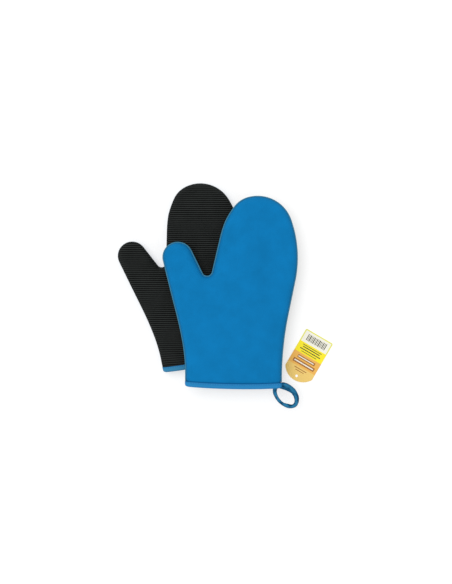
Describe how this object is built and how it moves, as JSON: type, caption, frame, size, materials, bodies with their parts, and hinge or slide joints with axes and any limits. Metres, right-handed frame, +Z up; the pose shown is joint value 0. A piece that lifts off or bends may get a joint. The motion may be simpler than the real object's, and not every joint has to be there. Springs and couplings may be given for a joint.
{
  "type": "pair of heat resistant oven mitts",
  "caption": "Padded mitts with a ribbed grip palm, smooth knit-faced back, bound cuff and hanging loop, lying stacked as a pair beside a plain swing tag.",
  "frame": {"origin": "on the surface that the pair lies on, under the middle of the left mitt's palm", "axes": "+Z up; +Y from the right mitt's cuff to its finger end, and the left mitt leans 11.9 degrees from it towards -X; thumbs on the -X side"},
  "size_m": [0.3169, 0.3276, 0.0443],
  "materials": {
    "blue_knit_neoprene": "matte stretch knit bonded to neoprene foam",
    "black_neoprene": "matte foam rubber",
    "ribbed_rubber": "fine moulded ribs, satin",
    "felt_wadding": "needled felt",
    "cotton_lining": "brushed cotton jersey",
    "binding_tape": "folded bias tape, stitched",
    "loop_tape": "folded bias tape, creased",
    "tag_card": "coated card with plain colour bands"
  },
  "bodies": {
    "left_hand": {"left_back_panel": "blue_knit_neoprene", "left_back_wadding": "felt_wadding", "left_back_lining": "cotton_lining", "left_palm_panel": "black_neoprene", "left_palm_wadding": "felt_wadding", "left_palm_lining": "cotton_lining", "left_grip_face": "ribbed_rubber", "left_cuff_binding": "binding_tape"},
    "left_thumb": {"left_thumb_back_panel": "blue_knit_neoprene", "left_thumb_back_wadding": "felt_wadding", "left_thumb_back_lining": "cotton_lining", "left_thumb_palm_panel": "black_neoprene", "left_thumb_palm_wadding": "felt_wadding", "left_thumb_palm_lining": "cotton_lining", "left_thumb_grip_face": "ribbed_rubber"},
    "left_loop": {"left_hanging_loop": "loop_tape"},
    "right_hand": {"right_back_panel": "blue_knit_neoprene", "right_back_wadding": "felt_wadding", "right_back_lining": "cotton_lining", "right_palm_panel": "black_neoprene", "right_palm_wadding": "felt_wadding", "right_palm_lining": "cotton_lining", "right_grip_face": "ribbed_rubber", "right_cuff_binding": "binding_tape"},
    "right_thumb": {"right_thumb_back_panel": "blue_knit_neoprene", "right_thumb_back_wadding": "felt_wadding", "right_thumb_back_lining": "cotton_lining", "right_thumb_palm_panel": "black_neoprene", "right_thumb_palm_wadding": "felt_wadding", "right_thumb_palm_lining": "cotton_lining", "right_thumb_grip_face": "ribbed_rubber"},
    "right_loop": {"right_hanging_loop": "loop_tape"},
    "tag": {"swing_tag": "tag_card"}
  },
  "joints": [
    {"name": "right_mitt_lift", "type": "slide", "parent": "left_hand", "child": "right_hand", "axis": [0, 0, 1], "range_m": [0, 0.12]},
    {"name": "left_thumb_flex", "type": "hinge", "parent": "left_hand", "child": "left_thumb", "pos_m": [-0.04786, 0.04996, 0.022], "axis": [0.8669, 0.4985, 0], "range_deg": [0, 60], "stiffness_Nm_per_rad": 0.08},
    {"name": "right_thumb_flex", "type": "hinge", "parent": "right_hand", "child": "right_thumb", "pos_m": [0.0196, 0.0375, 0.0443], "axis": [0.9511, 0.309, 0], "range_deg": [0, 40], "stiffness_Nm_per_rad": 0.08},
    {"name": "left_loop_swing", "type": "hinge", "parent": "left_hand", "child": "left_loop", "pos_m": [0.08118, -0.08494, 0.011], "axis": [-0.7434, -0.6688, 0], "range_deg": [-12, 12], "stiffness_Nm_per_rad": 0.02},
    {"name": "right_loop_swing", "type": "hinge", "parent": "right_hand", "child": "right_loop", "pos_m": [0.12346, -0.12969, 0.0333], "axis": [-0.8665, -0.4992, 0], "range_deg": [-20, 20], "stiffness_Nm_per_rad": 0.02},
    {"name": "tag_lift", "type": "slide", "parent": "left_hand", "child": "tag", "axis": [0, 0, 1], "range_m": [0, 0.1]}
  ]
}
